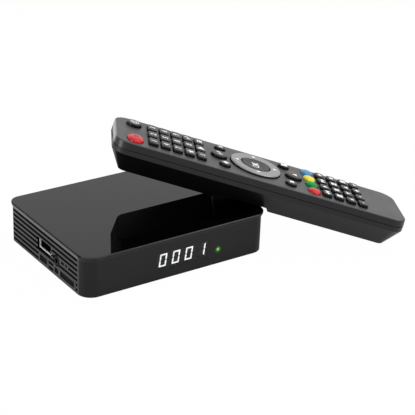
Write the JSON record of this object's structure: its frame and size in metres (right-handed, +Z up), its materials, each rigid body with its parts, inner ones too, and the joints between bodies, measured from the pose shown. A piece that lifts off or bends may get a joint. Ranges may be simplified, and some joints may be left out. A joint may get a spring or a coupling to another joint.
{
  "type": "satellite tv receiver",
  "caption": "Low black set-top satellite receiver with vented sides, smoked front display and rear sockets, with its keyed remote control leaning on the lid's edge.",
  "frame": {"origin": "middle of the receiver's four feet, on the surface it stands on", "axes": "+X along the front from left to right, +Y from the front to the rear sockets, +Z up"},
  "size_m": [0.1931, 0.1322, 0.0638],
  "materials": {
    "piano_black_lid": "polished",
    "case_black": "fine moulded grain",
    "smoked_front": "polished",
    "foot_rubber": "matt",
    "black_steel": "black oxide",
    "circuit_board": "solder mask",
    "tinned_steel": "tinned",
    "nickel_plate": "nickel plated",
    "socket_black": "satin",
    "socket_white": "satin",
    "display_black": "satin",
    "lit_white": "lit segments",
    "lit_green": "lit lens",
    "chip_black": "moulded epoxy",
    "fin_aluminium": "extruded",
    "capacitor_sleeve": "shrink sleeve",
    "remote_grey": "satin paint",
    "remote_charcoal": "fine moulded grain",
    "ir_smoke": "polished",
    "emitter_clear": "clear epoxy",
    "key_rubber": "silicone",
    "battery_sleeve": "printed sleeve left plain",
    "ring_silver": "satin silver paint",
    "ok_grey": "satin",
    "key_black": "gloss",
    "key_red": "gloss",
    "key_blue": "gloss",
    "key_yellow": "gloss",
    "key_green": "gloss"
  },
  "bodies": {
    "receiver": {"top_cover": "piano_black_lid", "case_body": "case_black", "front_panel": "smoked_front", "base_plate": "case_black", "rubber_feet": "foot_rubber", "case_screws": "black_steel", "main_board": "circuit_board", "tuner_can": "tinned_steel", "lnb_connector": "nickel_plate", "hdmi_socket": "tinned_steel", "ethernet_socket": "socket_black", "av_socket": "socket_black", "power_socket": "socket_black", "usb_socket": "tinned_steel", "usb_tongue": "socket_white", "side_jack": "socket_black", "display_board": "circuit_board", "display_module": "display_black", "display_digits": "lit_white", "status_led": "lit_green", "ir_sensor": "socket_black", "processor": "chip_black", "heat_sink": "fin_aluminium", "memory_chips": "chip_black", "capacitors": "capacitor_sleeve"},
    "remote": {"remote_top_shell": "remote_grey", "remote_bottom_shell": "remote_charcoal", "ir_window": "ir_smoke", "ir_emitter": "emitter_clear", "key_mat": "key_rubber", "remote_board": "circuit_board", "batteries": "battery_sleeve", "battery_contacts": "nickel_plate"},
    "battery_cover": {"battery_cover": "remote_charcoal"},
    "nav_ring": {"nav_ring": "ring_silver"},
    "power_key": {"power_key": "key_red"},
    "mute_key": {"mute_key": "key_black"},
    "menu_key": {"menu_key": "key_black"},
    "info_key": {"info_key": "key_black"},
    "exit_key": {"exit_key": "key_black"},
    "guide_key": {"guide_key": "key_black"},
    "back_key": {"back_key": "key_black"},
    "list_key": {"list_key": "key_black"},
    "blue_key": {"blue_key": "key_blue"},
    "yellow_key": {"yellow_key": "key_yellow"},
    "green_key": {"green_key": "key_green"},
    "red_key": {"red_key": "key_red"},
    "ok_key": {"ok_key": "ok_grey"},
    "number_keys_1": {"number_keys_1": "key_black"},
    "number_keys_2": {"number_keys_2": "key_black"},
    "number_keys_3": {"number_keys_3": "key_black"},
    "number_keys_4": {"number_keys_4": "key_black"},
    "number_keys_5": {"number_keys_5": "key_black"},
    "function_keys_1": {"function_keys_1": "key_black"},
    "function_keys_2": {"function_keys_2": "key_black"},
    "function_keys_3": {"function_keys_3": "key_black"},
    "function_keys_4": {"function_keys_4": "key_black"}
  },
  "joints": [
    {"name": "remote_lift", "type": "slide", "parent": "receiver", "child": "remote", "axis": [0, 0, 1], "range_m": [0, 0.12]},
    {"name": "battery_cover_slide", "type": "slide", "parent": "remote", "child": "battery_cover", "axis": [0.8178, -0.5005, -0.2842], "range_m": [0, 0.03]},
    {"name": "nav_ring_tilt", "type": "hinge", "parent": "remote", "child": "nav_ring", "pos_m": [0.05998, -0.0204, 0.03825], "axis": [0.4964, 0.8632, -0.0919], "range_deg": [-2, 2], "stiffness_Nm_per_rad": 0.05},
    {"name": "power_key_press", "type": "slide", "parent": "remote", "child": "power_key", "axis": [-0.2913, 0.0659, -0.9544], "range_m": [0, 0.0008], "stiffness_N_per_m": 400, "springref_m": -0.0005},
    {"name": "mute_key_press", "type": "slide", "parent": "remote", "child": "mute_key", "axis": [-0.2913, 0.0659, -0.9544], "range_m": [0, 0.0008], "stiffness_N_per_m": 400, "springref_m": -0.0005},
    {"name": "menu_key_press", "type": "slide", "parent": "remote", "child": "menu_key", "axis": [-0.2913, 0.0659, -0.9544], "range_m": [0, 0.0008], "stiffness_N_per_m": 400, "springref_m": -0.0005},
    {"name": "info_key_press", "type": "slide", "parent": "remote", "child": "info_key", "axis": [-0.2913, 0.0659, -0.9544], "range_m": [0, 0.0008], "stiffness_N_per_m": 400, "springref_m": -0.0005},
    {"name": "exit_key_press", "type": "slide", "parent": "remote", "child": "exit_key", "axis": [-0.2913, 0.0659, -0.9544], "range_m": [0, 0.0008], "stiffness_N_per_m": 400, "springref_m": -0.0005},
    {"name": "guide_key_press", "type": "slide", "parent": "remote", "child": "guide_key", "axis": [-0.2913, 0.0659, -0.9544], "range_m": [0, 0.0008], "stiffness_N_per_m": 400, "springref_m": -0.0005},
    {"name": "back_key_press", "type": "slide", "parent": "remote", "child": "back_key", "axis": [-0.2913, 0.0659, -0.9544], "range_m": [0, 0.0008], "stiffness_N_per_m": 400, "springref_m": -0.0005},
    {"name": "list_key_press", "type": "slide", "parent": "remote", "child": "list_key", "axis": [-0.2913, 0.0659, -0.9544], "range_m": [0, 0.0008], "stiffness_N_per_m": 400, "springref_m": -0.0005},
    {"name": "blue_key_press", "type": "slide", "parent": "remote", "child": "blue_key", "axis": [-0.2913, 0.0659, -0.9544], "range_m": [0, 0.0008], "stiffness_N_per_m": 400, "springref_m": -0.0005},
    {"name": "yellow_key_press", "type": "slide", "parent": "remote", "child": "yellow_key", "axis": [-0.2913, 0.0659, -0.9544], "range_m": [0, 0.0008], "stiffness_N_per_m": 400, "springref_m": -0.0005},
    {"name": "green_key_press", "type": "slide", "parent": "remote", "child": "green_key", "axis": [-0.2913, 0.0659, -0.9544], "range_m": [0, 0.0008], "stiffness_N_per_m": 400, "springref_m": -0.0005},
    {"name": "red_key_press", "type": "slide", "parent": "remote", "child": "red_key", "axis": [-0.2913, 0.0659, -0.9544], "range_m": [0, 0.0008], "stiffness_N_per_m": 400, "springref_m": -0.0005},
    {"name": "ok_key_press", "type": "slide", "parent": "remote", "child": "ok_key", "axis": [-0.2913, 0.0659, -0.9544], "range_m": [0, 0.0008], "stiffness_N_per_m": 400, "springref_m": -0.0005},
    {"name": "number_keys_1_press", "type": "slide", "parent": "remote", "child": "number_keys_1", "axis": [-0.2913, 0.0659, -0.9544], "range_m": [0, 0.0008], "stiffness_N_per_m": 400, "springref_m": -0.0005},
    {"name": "number_keys_2_press", "type": "slide", "parent": "remote", "child": "number_keys_2", "axis": [-0.2913, 0.0659, -0.9544], "range_m": [0, 0.0008], "stiffness_N_per_m": 400, "springref_m": -0.0005},
    {"name": "number_keys_3_press", "type": "slide", "parent": "remote", "child": "number_keys_3", "axis": [-0.2913, 0.0659, -0.9544], "range_m": [0, 0.0008], "stiffness_N_per_m": 400, "springref_m": -0.0005},
    {"name": "number_keys_4_press", "type": "slide", "parent": "remote", "child": "number_keys_4", "axis": [-0.2913, 0.0659, -0.9544], "range_m": [0, 0.0008], "stiffness_N_per_m": 400, "springref_m": -0.0005},
    {"name": "number_keys_5_press", "type": "slide", "parent": "remote", "child": "number_keys_5", "axis": [-0.2913, 0.0659, -0.9544], "range_m": [0, 0.0008], "stiffness_N_per_m": 400, "springref_m": -0.0005},
    {"name": "function_keys_1_press", "type": "slide", "parent": "remote", "child": "function_keys_1", "axis": [-0.2913, 0.0659, -0.9544], "range_m": [0, 0.0008], "stiffness_N_per_m": 400, "springref_m": -0.0005},
    {"name": "function_keys_2_press", "type": "slide", "parent": "remote", "child": "function_keys_2", "axis": [-0.2913, 0.0659, -0.9544], "range_m": [0, 0.0008], "stiffness_N_per_m": 400, "springref_m": -0.0005},
    {"name": "function_keys_3_press", "type": "slide", "parent": "remote", "child": "function_keys_3", "axis": [-0.2913, 0.0659, -0.9544], "range_m": [0, 0.0008], "stiffness_N_per_m": 400, "springref_m": -0.0005},
    {"name": "function_keys_4_press", "type": "slide", "parent": "remote", "child": "function_keys_4", "axis": [-0.2913, 0.0659, -0.9544], "range_m": [0, 0.0008], "stiffness_N_per_m": 400, "springref_m": -0.0005}
  ]
}
